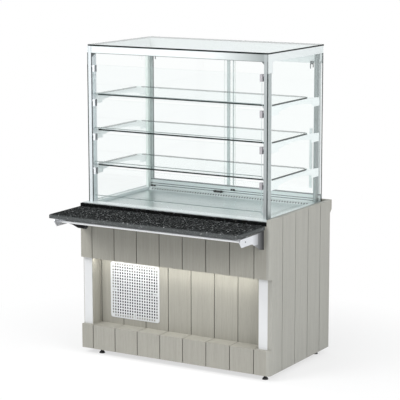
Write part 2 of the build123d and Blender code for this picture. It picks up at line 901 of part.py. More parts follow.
def flap(pivot_z):
    """A clear acrylic flap with its lower lip bent in towards the shelf."""
    row = pivot_z - pivot_above
    y = flap_y()
    top = row + flap_above
    fold = row - flap_below
    end_y = y + flap_lip_in
    end_z = fold - flap_lip_h
    lean = math.atan2(flap_lip_in, flap_lip_h)
    skew = flap_t * math.tan(lean / 2)
    out_y = flap_t * math.cos(lean)
    out_z = flap_t * math.sin(lean)
    outline = [(y, top), (y, fold), (end_y, end_z), (end_y + out_y, end_z + out_z),
               (y + flap_t, fold + skew), (y + flap_t, top)]
    x0 = glass_left + front_post_w + clamp_gap + clamp_w - clamp_grip
    return side_profile(outline, x0, 2 * mid_x - x0)


def flap_clamps(pivot_z):
    """The two steel clamps at a flap's upper corners, each with its pivot pin."""
    row = pivot_z - pivot_above
    x0 = glass_left + front_post_w + clamp_gap
    x1 = x0 + clamp_w
    y0 = flap_y() - clamp_lead
    clamp = block(x0, x1, y0, y0 + clamp_d, row - clamp_h / 2, row + clamp_h / 2)
    clamp = fillet(clamp.edges().filter_by(Axis.Z), 2)
    slot = block(x1 - clamp_grip, x1 + 1, flap_y(), flap_y() + flap_t, row - clamp_h, row + flap_above)
    clamp = clamp - slot
    pin = rod_x(x0 - clamp_gap - pin_depth, x0, pivot_y(), pivot_z, pin_d)
    collar = rod_x(x0 - clamp_gap + fit_gap, x0, pivot_y(), pivot_z, pin_d + 5)
    clamp = clamp + pin + collar
    return clamp, mirrored(clamp)


def track(y, z0, z1):
    """The space of one door's track."""
    return block(door_zone_left - 3, door_zone_right + 3, y - door_play, y + door_t + door_play, z0, z1)


def rear_sill():
    """The ribbed upstand behind the well, with the doors' lower tracks on top."""
    sill = block(pane_in_left, pane_in_right, sill_y, glass_rear, rim_z, sill_top)
    for y in (door_a_y, door_b_y):
        sill = sill - track(y, sill_top - track_depth, sill_top + 1)
    for i in range(rib_rows):
        z = rim_z + rib_first + i * rib_pitch
        sill = sill - block(pane_in_left, pane_in_right, sill_y - 1, sill_y + rib_cut,
                            z - rib_h / 2, z + rib_h / 2)
    return sill


def door_header():
    """The rear rail of the roof, with the doors' upper tracks in its underside."""
    header = block(pane_in_left, pane_in_right, sill_y, glass_rear, header_z, frame_top)
    for y in (door_a_y, door_b_y):
        header = header - track(y, header_z - 1, header_z + header_track_depth)
    lip = block(pane_in_left, pane_in_right, sill_y - 1, sill_y + 2, header_z + 22, frame_top)
    return header - lip


def door_heights():
    """Lower and upper edge of the door panes, inside the two tracks."""
    return sill_top - track_depth + fit_gap, header_z + header_track_depth - door_lift_gap


def door_left_edge():
    """The left door's free edge, where it overlaps the right door."""
    return mid_x - door_overlap_left + door_overlap / 2


def door_right_edge():
    """The right door's free edge, behind the left door."""
    return mid_x - door_overlap_left - door_overlap / 2


def door_left():
    """The front sliding pane, on the left."""
    low, high = door_heights()
    return block(door_zone_left + stile_wrap, door_left_edge(), door_a_y, door_a_y + door_t, low, high)


def door_right():
    """The rear sliding pane, on the right."""
    low, high = door_heights()
    return block(door_right_edge(), door_zone_right - stile_wrap, door_b_y, door_b_y + door_t, low, high)


def stile(y):
    """A handle profile that grips a left-hand pane edge."""
    mid = y + door_t / 2
    low = sill_top + stile_end_clear
    high = header_z - stile_end_clear
    bar = block(door_zone_left, door_zone_left + stile_w, mid - stile_t / 2, mid + stile_t / 2, low, high)
    slot = block(door_zone_left + stile_wrap, door_zone_left + stile_w + 1, y, y + door_t, low - 1, high + 1)
    return bar - slot


def door_left_trim():
    """The left door's handle profile and the brush strip where the doors overlap."""
    low = sill_top + stile_end_clear
    high = header_z - stile_end_clear
    edge = door_left_edge() - seal_inset
    brush = block(edge - seal_w, edge,
                  door_a_y + door_t, door_a_y + door_t + meeting_strip_t, low, high)
    return stile(door_a_y), brush


def door_right_trim():
    """The right door's edge profile, its meeting strip and its grip on the service side."""
    low = sill_top + stile_end_clear
    high = header_z - stile_end_clear
    left = door_right_edge() + meeting_strip_inset
    strip = block(left, left + meeting_strip_w, door_b_y - meeting_strip_t, door_b_y, low, high)
    right = door_zone_right - grip_right_inset
    grip_y = door_b_y + door_t
    grip = block(right - grip_w, right, grip_y, grip_y + grip_t, low + grip_lift, low + grip_lift + grip_h)
    grip = fillet(grip.edges().filter_by(Axis.Z).sort_by(Axis.Y)[2:], 3)
    return mirrored(stile(door_b_y)), strip, grip


def fan_at(place):
    """A bladed fan whose axis is the local Z of the given place."""
    hub = Cylinder(fan_hub_d / 2, fan_hub_l)
    blade_l = fan_d / 2 - fan_hub_d / 2 + 2
    radius = fan_hub_d / 2 - 2 + blade_l / 2
    wheel = hub
    for i in range(fan_blades):
        turn = Rot(0, 0, 360 / fan_blades * i)
        blade = turn * Pos(radius, 0, 0) * Rot(fan_pitch_deg, 0, 0) * Box(blade_l, 34, fan_blade_t)
        wheel = wheel + blade
    wheel = wheel & Cylinder(fan_d / 2, fan_hub_l * 2)
    wheel = wheel - Pos(0, 0, -2) * Cylinder(fan_shaft_d / 2 + fan_shaft_fit, fan_hub_l)
    return place * wheel


def shroud_at(place, plate_w, plate_h):
    """A ring plate with the fan's motor held on three arms behind the wheel."""
    ring_r = fan_d / 2 + fan_tip_gap
    plate = Pos(0, 0, 0) * Box(plate_w, plate_h, shroud_rim_t)
    ring = Cylinder(ring_r + shroud_rim_t, shroud_t)
    body = plate + ring - Cylinder(ring_r, shroud_t * 2)
    motor_z = -(fan_hub_l / 2 + 6 + motor_l / 2)
    motor = Pos(0, 0, motor_z) * Cylinder(motor_d / 2, motor_l)
    body = body + motor
    shaft_l = fan_hub_l + 6 - 5
    body = body + Pos(0, 0, motor_z + motor_l / 2 + shaft_l / 2) * Cylinder(fan_shaft_d / 2, shaft_l)
    for i in range(3):
        turn = Rot(0, 0, 120 * i + 30)
        arm_l = ring_r + shroud_rim_t - motor_d / 2 + 2
        arm_x = motor_d / 2 - 1 + arm_l / 2
        arm = turn * Pos(arm_x, 0, motor_z) * Box(arm_l, 8, 3)
        leg_h = -motor_z + 1.5
        leg = turn * Pos(ring_r + shroud_rim_t - 1, 0, motor_z / 2) * Box(4, 8, leg_h)
        body = body + arm + leg
    return place * body


def condenser_fan_place():
    """The condenser fan's middle, its axis pointing back along Y."""
    y = front_y + condenser_front + condenser_d + shroud_t / 2 + 2
    z = base_z + condenser_lift + condenser_h / 2
    return Pos(unit_x, y, z) * Rot(90, 0, 0)


def condenser_shroud():
    """The condenser fan's shroud, standing on the unit's base plate."""
    body = shroud_at(condenser_fan_place(), condenser_w, condenser_h)
    y = front_y + condenser_front + condenser_d + shroud_t / 2 + 2
    low = base_z + condenser_lift
    for side in (-1, 1):
        x = unit_x + side * (condenser_w / 2 - 12)
        body = body + block(x - 12, x + 12, y - shroud_rim_t / 2, y + shroud_rim_t / 2, unit_plate_z, low + 4)
    return body


def condenser():
    """The condenser: finned block, end plates and the return bends of its tube."""
    x0 = unit_x - condenser_w / 2
    y0 = front_y + condenser_front
    z0 = base_z + condenser_lift
    coil = block(x0, x0 + end_plate_t, y0, y0 + condenser_d, unit_plate_z, z0 + condenser_h)
    coil = coil + block(x0 + condenser_w - end_plate_t, x0 + condenser_w, y0, y0 + condenser_d,
                        unit_plate_z, z0 + condenser_h)
    count = int((condenser_w - 2 * end_plate_t) // fin_pitch)
    start = unit_x - (count - 1) / 2 * fin_pitch
    fins = [block(start + i * fin_pitch - fin_t / 2, start + i * fin_pitch + fin_t / 2,
                  y0 + 2, y0 + condenser_d - 2, z0, z0 + condenser_h) for i in range(count)]
    step = condenser_h / coil_rows
    tubes = [rod_x(x0 - 10, x0 + condenser_w + 10, y0 + condenser_d / 2, z0 + (i + 0.5) * step, coil_tube_d)
             for i in range(coil_rows)]
    bends = []
    for i in range(coil_rows - 1):
        side = 1 if i % 2 else -1
        x = unit_x + side * (condenser_w / 2 + 10)
        z = z0 + (i + 0.5) * step
        bends.append(block(min(x, x - side * coil_tube_d), max(x, x - side * coil_tube_d),
                           y0 + condenser_d / 2 - coil_tube_d / 2, y0 + condenser_d / 2 + coil_tube_d / 2,
                           z, z + step))
    return coil + fins + tubes + bends


def unit_plate():
    """The base plate of the condensing unit on the floor pan."""
    return block(unit_x - condenser_w / 2 - 15, unit_x + condenser_w / 2 + 15,
                 front_y + condenser_front - 6, front_y + condenser_front - 6 + unit_plate_depth,
                 floor_z, unit_plate_z)


def compressor():
    """The hermetic compressor: a domed pot on four rubber mounts, with its terminal box."""
    x = unit_x - 10
    y = front_y + compressor_y
    z0 = unit_plate_z + mount_h
    pot = rod_z(x, y, z0, z0 + compressor_h, compressor_d)
    rims = pot.edges().filter_by(GeomType.CIRCLE)
    pot = fillet(rims, 34)
    belt = rod_z(x, y, z0 + compressor_h * 0.52, z0 + compressor_h * 0.56, compressor_d + 8)
    plate = block(x - 95, x + 95, y - 75, y + 75, z0, z0 + 3)
    body = pot + belt + plate
    for sx in (-1, 1):
        for sy in (-1, 1):
            body = body + rod_z(x + sx * 80, y + sy * 60, unit_plate_z, z0, mount_d)
    terminal = block(x + compressor_d / 2 - 8, x + compressor_d / 2 + 32, y - 32, y + 32,
                     z0 + 60, z0 + 120)
    z = unit_plate_z + mount_h + compressor_h * 0.75
    stubs = rod_x(x + compressor_d / 2 - 8, x + compressor_d / 2 + 8, y - 20, z, pipe_d + 4)
    stubs = stubs + rod_y(x - 20, y + compressor_d / 2 - 8, y + compressor_d / 2 + 8, z + 10, pipe_d + 4)
    return body + terminal + stubs


def pipe(points, radius):
    """A copper pipe along straight runs with even bends."""
    line = FilletPolyline(*points, radius=radius)
    start = Plane(origin=line @ 0, z_dir=line % 0)
    return sweep(start * Circle(pipe_d / 2), path=line)


def refrigerant_pipes():
    """The discharge, liquid and suction pipes, and the filter drier in the liquid pipe."""
    x = unit_x - 10
    y = front_y + compressor_y
    z_mid = unit_plate_z + mount_h + compressor_h * 0.75
    coil_y = front_y + condenser_front + condenser_d / 2
    coil_x = unit_x + condenser_w / 2 + 10
    top_z = base_z + condenser_lift + condenser_h - condenser_h / coil_rows / 2
    low_z = base_z + condenser_lift + condenser_h / coil_rows / 2
    pot_x = x + compressor_d / 2
    side_x = coil_x + 45
    discharge = pipe([(pot_x + 8, y - 20, z_mid), (side_x, y - 20, z_mid), (side_x, y - 20, top_z),
                      (side_x, coil_y, top_z), (coil_x, coil_y, top_z)], 14)
    (liquid_x, liquid_y), (suction_x, suction_y) = pipe_holes()
    lane_x = coil_x + 80
    drier_y0 = y + 30
    low_run = pipe([(coil_x, coil_y, low_z), (lane_x, coil_y, low_z), (lane_x, drier_y0, low_z)], 14)
    drier = rod_y(lane_x, drier_y0, drier_y0 + drier_l, low_z, drier_d)
    up_z = well_z - foam_bottom - 40
    rise = pipe([(lane_x, drier_y0 + drier_l, low_z), (lane_x, drier_y0 + drier_l + 40, low_z),
                 (lane_x, drier_y0 + drier_l + 40, up_z), (liquid_x, drier_y0 + drier_l + 40, up_z),
                 (liquid_x, liquid_y, up_z), (liquid_x, liquid_y, well_z + well_wall + evap_lift + 30),
                 (liquid_x + 40 - end_plate_t, liquid_y, well_z + well_wall + evap_lift + 30)], 14)
    suction = pipe([(suction_x + 40 - end_plate_t, suction_y, well_z + well_wall + evap_lift + 80),
                    (suction_x, suction_y, well_z + well_wall + evap_lift + 80),
                    (suction_x, suction_y, up_z - 30), (x - 20, suction_y, up_z - 30),
                    (x - 20, suction_y, z_mid + 10), (x - 20, y + compressor_d / 2 + 8, z_mid + 10)], 14)
    return discharge, low_run + drier + rise, suction


def evaporator():
    """The evaporator: a finned block on two feet in the bottom of the well."""
    x0 = body_left + evap_left
    y0 = front_y + 390
    z0 = well_z + well_wall + evap_lift
    low = well_z + well_wall
    coil = block(x0, x0 + end_plate_t, y0, y0 + evap_d, low, z0 + evap_h)
    coil = coil + block(x0 + evap_w - end_plate_t, x0 + evap_w, y0, y0 + evap_d, low, z0 + evap_h)
    count = int((evap_w - 2 * end_plate_t) // (2 * fin_pitch))
    start = x0 + evap_w / 2 - (count - 1) * fin_pitch
    fins = [block(start + 2 * i * fin_pitch - fin_t / 2, start + 2 * i * fin_pitch + fin_t / 2,
                  y0 + 2, y0 + evap_d - 2, z0, z0 + evap_h) for i in range(count)]
    tubes = [rod_x(x0 - 8, x0 + evap_w + 8, y0 + evap_d / 4 * (row + 0.5) + evap_d / 8,
                   z0 + evap_h / 4 * (level + 0.5), coil_tube_d)
             for row in range(3) for level in range(4)]
    return coil + fins + tubes


def evaporator_fan_place():
    """The evaporator fan's middle, its axis along X."""
    x = body_left + evap_left + evap_w + 60
    z = well_z + well_wall + fan_d / 2 + 12
    y = front_y + 390 + evap_d / 2
    return Pos(x, y, z) * Rot(0, -90, 0)


def evaporator_shroud():
    """The evaporator fan's shroud, standing in the bottom of the well."""
    body = shroud_at(evaporator_fan_place(), fan_d + 20, fan_d + 30)
    x = body_left + evap_left + evap_w + 60
    y = front_y + 390 + evap_d / 2
    low = well_z + well_wall
    base = block(x - shroud_rim_t / 2, x + 30, y - 60, y + 60, low, low + 2)
    return body + base


def electrical_box():
    """The box on the service side: the casing inside and the fascia outside."""
    inset = 1.0
    casing = block(box_left + inset, box_right - inset, rear_y - box_d, rear_y,
                   box_z + inset, box_z + box_h - inset)
    fascia = block(box_left - fascia_margin, box_right + fascia_margin, rear_y, fascia_y,
                   box_z - fascia_margin, box_z + box_h + fascia_margin)
    fascia = fillet(fascia.edges().filter_by(Axis.Y), 6)
    body = casing + fascia
    x, z = rocker_place()
    pocket = block(x - rocker_w / 2 - 0.5, x + rocker_w / 2 + 0.5, rear_y - rocker_d - 6, fascia_y + 1,
                   z - rocker_h / 2 - 0.6, z + rocker_h / 2 + 0.6)
    body = body - pocket
    shaft = rod_x(x - rocker_w / 2 - 0.5, x + rocker_w / 2 + 0.5, rear_y - 3, z, rocker_shaft_d)
    body = body + shaft
    bezel = block(x - rocker_w / 2 - 3.5, x + rocker_w / 2 + 3.5, fascia_y, fascia_y + 1.5,
                  z - rocker_h / 2 - 3.5, z + rocker_h / 2 + 3.5)
    bezel = bezel - pocket - block(x - rocker_w / 2 - 0.5, x + rocker_w / 2 + 0.5, fascia_y - 1,
                                   fascia_y + 3, z - rocker_h / 2 - 0.6, z + rocker_h / 2 + 0.6)
    return body + bezel


def rocker_place():
    """Middle of the main switch on the fascia."""
    return box_right - 34, box_mid_z


def rocker():
    """The main switch's rocker, tipped to its rest side, on its own pin."""
    x, z = rocker_place()
    outline = [(-rocker_d, -rocker_h * 0.28), (-rocker_d, rocker_h * 0.28), (0, rocker_h / 2),
               (3.2, rocker_h / 2), (1.6, 0), (3.2, -rocker_h / 2), (0, -rocker_h / 2)]
    key = side_profile(outline, -rocker_w / 2, rocker_w / 2)
    key = key - rod_x(-rocker_w, rocker_w, 0, 0, rocker_shaft_d + 0.1)
    return Pos(x, rear_y - 3, z) * Rot(rocker_tilt_deg, 0, 0) * key


def display():
    """The thermostat's face plate on the fascia."""
    x0 = box_left + 22
    plate = block(x0, x0 + display_w, fascia_y, fascia_y + display_t,
                  box_mid_z + 8, box_mid_z + 8 + display_h)
    return fillet(plate.edges().filter_by(Axis.Y), 4)


def power_inlet():
    """The mains inlet socket on the fascia, below the thermostat."""
    x0 = box_left + 30
    z0 = box_mid_z - 10 - inlet_h - 12
    body = block(x0, x0 + inlet_w + 12, fascia_y, fascia_y + 3, z0, z0 + inlet_h + 10)
    body = fillet(body.edges().filter_by(Axis.Y), 3)
    well = block(x0 + 6, x0 + 6 + inlet_w, fascia_y + 0.8, fascia_y + 4, z0 + 5, z0 + 5 + inlet_h)
    body = body - well
    for i in range(3):
        x = x0 + 6 + inlet_w / 2 + (i - 1) * 7
        body = body + block(x - 1, x + 1, fascia_y + 0.7, fascia_y + 2.6, z0 + 12, z0 + 17)
    return body


def main():
    os.makedirs("parts", exist_ok=True)
    save("base_frame", base_frame())
    save("floor_pan", floor_pan())
    for name, (x, y) in feet_places().items():
        save(name, foot(x, y))
    save("side_skins", *side_skins())
    save("end_cladding", end_cladding())
    save("upper_cladding", upper_cladding())
    save("plinth", plinth())
    save("corner_covers", *corner_covers())
    save("return_boards", *return_boards())
    save("recess_panel", recess_panel())
    save("recess_light", recess_light())
    save("grille", grille())
    save("rear_panel", rear_panel())
    save("rear_apron", rear_apron())
    save("worktop", worktop())
    save("tray", tray())
    save("tray_arms", tray_arm(), mirrored(tray_arm()))
    save("tray_wall_brackets", tray_wall_bracket(), mirrored(tray_wall_bracket()))
    save("tray_tube", tray_tube())
    save("well_liner", well_liner())
    save("well_foam", well_foam())
    save("deck", deck())
    save("air_strip", air_strip())
    save("front_posts", *front_posts())
    save("rear_posts", *rear_posts())
    save("top_frame", *top_frame(), *corner_cleats())
    save("top_pane", top_pane())
    save("side_panes", side_pane(), mirrored(side_pane()))
    save("shelves", *[shelf(z) for z in shelf_bottoms()])
    arms = [shelf_arm(z) for z in shelf_bottoms()]
    save("shelf_arms", *arms, *[mirrored(arm) for arm in arms])
    for number, z in enumerate(flap_pivots(), 1):
        save(f"flap_{number}", flap(z))
        save(f"flap_clamps_{number}", *flap_clamps(z))
    save("rear_sill", rear_sill())
    save("door_header", door_header())
    save("door_left", door_left())
    save("door_right", door_right())
    save("door_left_trim", *door_left_trim())
    save("door_right_trim", *door_right_trim())
    save("unit_plate", unit_plate())
    save("compressor", compressor())
    save("condenser", condenser())
    save("condenser_shroud", condenser_shroud())
    save("condenser_fan", fan_at(condenser_fan_place()))
    save("refrigerant_pipes", *refrigerant_pipes())
    save("evaporator", evaporator())
    save("evaporator_shroud", evaporator_shroud())
    save("evaporator_fan", fan_at(evaporator_fan_place()))
    save("electrical_box", electrical_box())
    save("rocker_switch", rocker())
    save("thermostat_face", display())
    save("power_inlet", power_inlet())


main()
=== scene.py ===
import math

import bmesh
import bpy
from mathutils import Matrix, Vector


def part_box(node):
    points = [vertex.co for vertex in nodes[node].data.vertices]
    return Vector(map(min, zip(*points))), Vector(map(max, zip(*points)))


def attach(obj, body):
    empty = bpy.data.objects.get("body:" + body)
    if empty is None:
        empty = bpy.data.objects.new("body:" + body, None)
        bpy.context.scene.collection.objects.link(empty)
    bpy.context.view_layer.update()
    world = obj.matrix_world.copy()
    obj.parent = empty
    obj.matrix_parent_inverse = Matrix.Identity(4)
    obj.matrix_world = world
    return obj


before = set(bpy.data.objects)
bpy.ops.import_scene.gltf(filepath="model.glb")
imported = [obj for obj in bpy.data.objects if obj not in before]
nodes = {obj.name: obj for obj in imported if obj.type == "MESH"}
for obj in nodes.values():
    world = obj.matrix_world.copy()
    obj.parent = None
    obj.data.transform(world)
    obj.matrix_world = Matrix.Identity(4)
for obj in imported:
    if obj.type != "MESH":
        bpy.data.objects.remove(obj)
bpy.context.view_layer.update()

scene = bpy.context.scene

X, Y, Z = 0, 1, 2


# Places of the solid pieces, in metres

front_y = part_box("plinth")[0].y
outer_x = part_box("end_cladding")[1].x
recess_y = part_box("recess_panel")[0].y
deck_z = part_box("deck")[0].z
post_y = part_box("front_posts")[0].y
sill_low, sill_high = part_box("rear_sill")
header_low, header_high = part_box("door_header")
rim_z = sill_low.z


# Camera

CAMERA_PLACE = (4.5404, -7.5848, 2.477)
CAMERA_YAW, CAMERA_PITCH, CAMERA_ROLL = -30.626, 10.141, -0.094
SENSOR_WIDTH = 36.0
LENS = 147.07
CLIP_START, CLIP_END = 0.1, 60.0


def make_camera():
    """The picture's camera, far off at the front right, looking down a little."""
    yaw = math.radians(CAMERA_YAW)
    pitch = math.radians(CAMERA_PITCH)
    roll = math.radians(CAMERA_ROLL)
    ahead = Vector((math.sin(yaw) * math.cos(pitch),
                    math.cos(yaw) * math.cos(pitch),
                    -math.sin(pitch)))
    level = Vector((math.cos(yaw), -math.sin(yaw), 0.0))
    above = level.cross(ahead)
    right = level * math.cos(roll) + above * math.sin(roll)
    up = above * math.cos(roll) - level * math.sin(roll)
    data = bpy.data.cameras.new("camera")
    data.sensor_width = SENSOR_WIDTH
    data.lens = LENS
    data.clip_start = CLIP_START
    data.clip_end = CLIP_END
    cam = bpy.data.objects.new("camera", data)
    turn = Matrix((right, up, -ahead)).transposed().to_4x4()
    cam.matrix_world = Matrix.Translation(CAMERA_PLACE) @ turn
    scene.collection.objects.link(cam)
    scene.camera = cam


# Colours

def lin(r, g, b):
    """sRGB 0..255 to linear."""
    def one(v):
        v /= 255.0
        return v / 12.92 if v <= 0.04045 else ((v + 0.055) / 1.055) ** 2.4
    return one(r), one(g), one(b)


def grey(v):
    return v, v, v


def rgba(colour):
    return (*colour, 1.0)


# Node helpers

class Nodes:
    """Short ways to add nodes to a material or to the world.

    Inputs are given by name or number, each as an output to link or as a fixed value.
    """

    # The mix node has sockets for each kind of value; these are the ones for colours
    MIX_FAC, MIX_A, MIX_B, MIX_RESULT = 0, 6, 7, 2

    def __init__(self, owner, output):
        owner.use_nodes = True
        self.owner = owner
        self.tree = owner.node_tree
        self.tree.nodes.clear()
        self.out = self.node(output)

    def node(self, kind, inputs=None, **props):
        new = self.tree.nodes.new(kind)
        for name, value in props.items():
            setattr(new, name, value)
        for key, value in (inputs or {}).items():
            if isinstance(value, bpy.types.NodeSocket):
                self.tree.links.new(value, new.inputs[key])
            else:
                new.inputs[key].default_value = value
        return new

    def surface(self, colour, roughness, **others):
        """The general surface shader; an underscore in a name stands for a space."""
        inputs = {"Base Color": colour, "Roughness": roughness}
        inputs.update({name.replace("_", " "): value for name, value in others.items()})
        return self.node("ShaderNodeBsdfPrincipled", inputs).outputs[0]

    def coords(self, scale=(1, 1, 1), offset=(0, 0, 0)):
        """The piece's own coordinates, scaled and shifted."""
        own = self.node("ShaderNodeTexCoord").outputs["Object"]
        mapping = self.node("ShaderNodeMapping",
                            {"Vector": own, "Scale": scale, "Location": offset})
        return mapping.outputs["Vector"]

    def noise(self, vector, scale, detail, rough, distortion=0.0):
        inputs = {"Vector": vector, "Scale": scale, "Detail": detail,
                  "Roughness": rough, "Distortion": distortion}
        return self.node("ShaderNodeTexNoise", inputs).outputs["Fac"]

    def ramp(self, fac, stops):
        """Tones that follow fac; stops gives (place, tone) pairs."""
        new = self.node("ShaderNodeValToRGB", {"Fac": fac})
        points = new.color_ramp.elements
        while len(points) < len(stops):
            points.new(0.5)
        for point, (place, tone) in zip(points, stops):
            point.position = place
            point.color = rgba(tone)
        return new.outputs["Color"]

    def math(self, operation, a, b=0.0, clamp=False):
        return self.node("ShaderNodeMath", {0: a, 1: b},
                         operation=operation, use_clamp=clamp).outputs[0]

    def near(self, value, place, reach):
        """1 where value is within reach of place, 0 elsewhere."""
        return self.node("ShaderNodeMath", {0: value, 1: place, 2: reach},
                         operation="COMPARE").outputs[0]

    def span(self, value, start, end, low=0.0):
        """Goes from low to 1 while value goes from start to end."""
        inputs = {"Value": value, "From Min": start, "From Max": end, "To Min": low}
        return self.node("ShaderNodeMapRange", inputs).outputs[0]

    def mix(self, fac, a, b, blend="MIX"):
        """Mixes colours; a and b are outputs or (r, g, b)."""
        a, b = (c if isinstance(c, bpy.types.NodeSocket) else rgba(c) for c in (a, b))
        new = self.node("ShaderNodeMix", {self.MIX_FAC: fac, self.MIX_A: a, self.MIX_B: b},
                        data_type="RGBA", blend_type=blend)
        return new.outputs[self.MIX_RESULT]

    def mix_shaders(self, fac, first, second):
        return self.node("ShaderNodeMixShader", {0: fac, 1: first, 2: second}).outputs[0]

    def parts(self, output):
        """The x, y and z of the piece's own place ("Object") or of its normal ("Normal")."""
        whole = self.node("ShaderNodeTexCoord").outputs[output]
        return self.node("ShaderNodeSeparateXYZ", {0: whole}).outputs

    def bump(self, height, strength, distance):
        inputs = {"Height": height, "Strength": strength, "Distance": distance}
        return self.node("ShaderNodeBump", inputs).outputs["Normal"]

    def seen(self):
        """1 for what is seen straight on, mirrored or through glass; 0 for what only lights."""
        path = self.node("ShaderNodeLightPath").outputs
        other = self.math("MAXIMUM", path["Is Glossy Ray"], path["Is Transmission Ray"])
        return self.math("MAXIMUM", path["Is Camera Ray"], other)

    def finish(self, shader):
        self.tree.links.new(shader, self.out.inputs["Surface"])
        return self.owner


def new_material(name):
    return Nodes(bpy.data.materials.new(name), "ShaderNodeOutputMaterial")


# Marks: each makes, in a material, a factor from 0 to 1 that says where a tone is laid on

FACING_LEAST = 0.7


def along(axis, start, end):
    """A mark that grows from nothing at start to full at end along an axis."""
    def make(m):
        return m.span(m.parts("Object")[axis], start, end)
    return make


def facing(axis, sign):
    """A mark on the faces that look one way along an axis."""
    def make(m):
        toward = m.math("MULTIPLY", m.parts("Normal")[axis], float(sign))
        return m.math("GREATER_THAN", toward, FACING_LEAST)
    return make


def where(first, *others):
    """A mark where all of these marks are."""
    def make(m):
        fac = first(m)
        for other in others:
            fac = m.math("MULTIPLY", fac, other(m), clamp=True)
        return fac
    return make


LEFT_FACES, RIGHT_FACES = facing(X, -1), facing(X, 1)
FRONT_FACES = facing(Y, -1)
UNDERSIDES = facing(Z, -1)


# Materials. Patterns are scaled per metre along x, y and z, and the reliefs are in metres.

FINE_GRAIN = (420, 420, 9)
BROAD_GRAIN = (38, 38, 1.6)
PORES = (900, 900, 26)
GRAIN_RELIEF = 0.0006
GROOVE_DEPTH = 0.004
GROOVE_REACH = 0.0012
GROOVE_TONE = lin(40, 39, 35)
GROOVE_SQUARE_ON = 0.95


def laminate(name, base, seed, groove=None):
    """Warm grey boards with upright wood grain.

    groove gives the axis that the boards' face looks along and the place on it of the bottom of
    the joints between planks, which is darker.
    """
    m = new_material(name)
    fine = m.noise(m.coords(FINE_GRAIN, (seed, seed, seed)), 1.0, 6.0, 0.62)
    broad = m.noise(m.coords(BROAD_GRAIN, (seed * 2, seed, 0)), 1.0, 4.0, 0.5, 0.6)
    pores = m.noise(m.coords(PORES, (0, seed, seed)), 1.0, 3.0, 0.5)
    grain = m.ramp(fine, [(0.28, grey(0.90)), (0.52, grey(1.0)), (0.74, grey(1.06))])
    cloud = m.ramp(broad, [(0.3, grey(0.95)), (0.7, grey(1.045))])
    pit = m.ramp(pores, [(0.30, grey(0.86)), (0.42, grey(1.0))])
    col = base
    for tone in (grain, cloud, pit):
        col = m.mix(1.0, col, tone, "MULTIPLY")
    if groove:
        axis, bottom = groove
        deep = m.near(m.parts("Object")[axis], bottom, GROOVE_REACH)
        flat = m.math("ABSOLUTE", m.parts("Normal")[axis])
        flat = m.math("GREATER_THAN", flat, GROOVE_SQUARE_ON)
        col = m.mix(m.math("MULTIPLY", deep, flat), col, GROOVE_TONE)
    return m.finish(m.surface(col, 0.52, Normal=m.bump(fine, 0.22, GRAIN_RELIEF),
                              Specular_IOR_Level=0.35))


# Grains per metre, where their random tone starts to show and is full, and their brightest grey
STONE_GRAINS = ((170.0, 0.84, 0.90, 150),
                (280.0, 0.74, 0.82, 96),
                (430.0, 0.60, 0.72, 60))


def stone(name, edge, edge_tone):
    """Honed black stone with pale and grey grains; the cut edges turn to their own tone."""
    m = new_material(name)
    cloud = m.noise(m.coords(), 60.0, 5.0, 0.65)
    col = m.ramp(cloud, [(0.40, lin(12, 13, 13)), (0.65, lin(28, 30, 30))])
    for scale, first, full, pale in STONE_GRAINS:
        cells = m.node("ShaderNodeTexVoronoi",
                       {"Vector": m.coords((1, 1, 1), (scale, 0, 0)), "Scale": scale})
        grains = m.ramp(cells.outputs["Color"],
                        [(first, grey(0.0)), (full, lin(pale, pale + 2, pale + 2))])
        col = m.mix(1.0, col, grains, "LIGHTEN")
    side = m.math("SUBTRACT", 1.0, m.math("ABSOLUTE", m.parts("Normal")[Z]), clamp=True)
    col = m.mix(m.math("MULTIPLY", side, edge, clamp=True), col, edge_tone)
    rough = m.ramp(cloud, [(0.3, grey(0.46)), (0.7, grey(0.60))])
    return m.finish(m.surface(col, rough, Specular_IOR_Level=0.0))


ALONG_X = (3, 220, 220)
ALONG_X_COARSE = (3, 200, 200)
UPRIGHT = (220, 220, 3)
FINNED = (200, 3, 3)
BRUSH_RELIEF = 0.0004
SATIN = 0.35


def steel(name, base, rough, brushed=ALONG_X, metallic=1.0, marks=()):
    """Brushed metal with fine directional marks.

    marks gives (mark, tone) pairs, which are laid over the base in order: painted shade on
    undersides, side faces, grooves and edges, and painted light and reflection that change along a
    piece.
    """
    m = new_material(name)
    brush = m.noise(m.coords(brushed), 4.0, 5.0, 0.6)
    col = base
    for mark, tone in marks:
        col = m.mix(mark(m), col, tone)
    streaks = m.ramp(brush, [(0.3, grey(0.94)), (0.7, grey(1.03))])
    col = m.mix(1.0, col, streaks, "MULTIPLY")
    roughness = m.ramp(brush, [(0.25, grey(rough * 0.8)), (0.75, grey(rough * 1.2))])
    return m.finish(m.surface(col, roughness, Normal=m.bump(brush, 0.05, BRUSH_RELIEF),
                              Metallic=metallic))


PEEL_SCALE = 420.0
PEEL_RELIEF = 0.0004


def paint(name, base, rough=0.35, peel=0.06, shine=0.5):
    """Powder coat or plastic with a faint orange peel."""
    m = new_material(name)
    skin = m.noise(m.coords(), PEEL_SCALE, 3.0, 0.5)
    cloud = m.noise(m.coords(), 6.0, 3.0, 0.5)
    tone = m.ramp(cloud, [(0.3, grey(0.97)), (0.7, grey(1.02))])
    col = m.mix(1.0, base, tone, "MULTIPLY")
    return m.finish(m.surface(col, rough, Normal=m.bump(skin, peel, PEEL_RELIEF),
                              Specular_IOR_Level=shine))


GLASS = (0.990, 0.998, 0.996)
ACRYLIC = (0.985, 0.993, 0.993)
# Tones of the panes' cut edges, from dark to pale: painted light, shade and reflection for the way
# an edge faces
INK = lin(3, 13, 12)
DEEP = lin(24, 38, 36)
MIST = lin(150, 161, 159)
PALE = lin(222, 230, 226)
FLAT_FROM = 0.72
CUT_EDGE_LEAST = 0.96
BACK_EDGE_LEAST = 0.2
UNDERSIDE_MOST = -0.70
CREASE_REACH = 0.0017


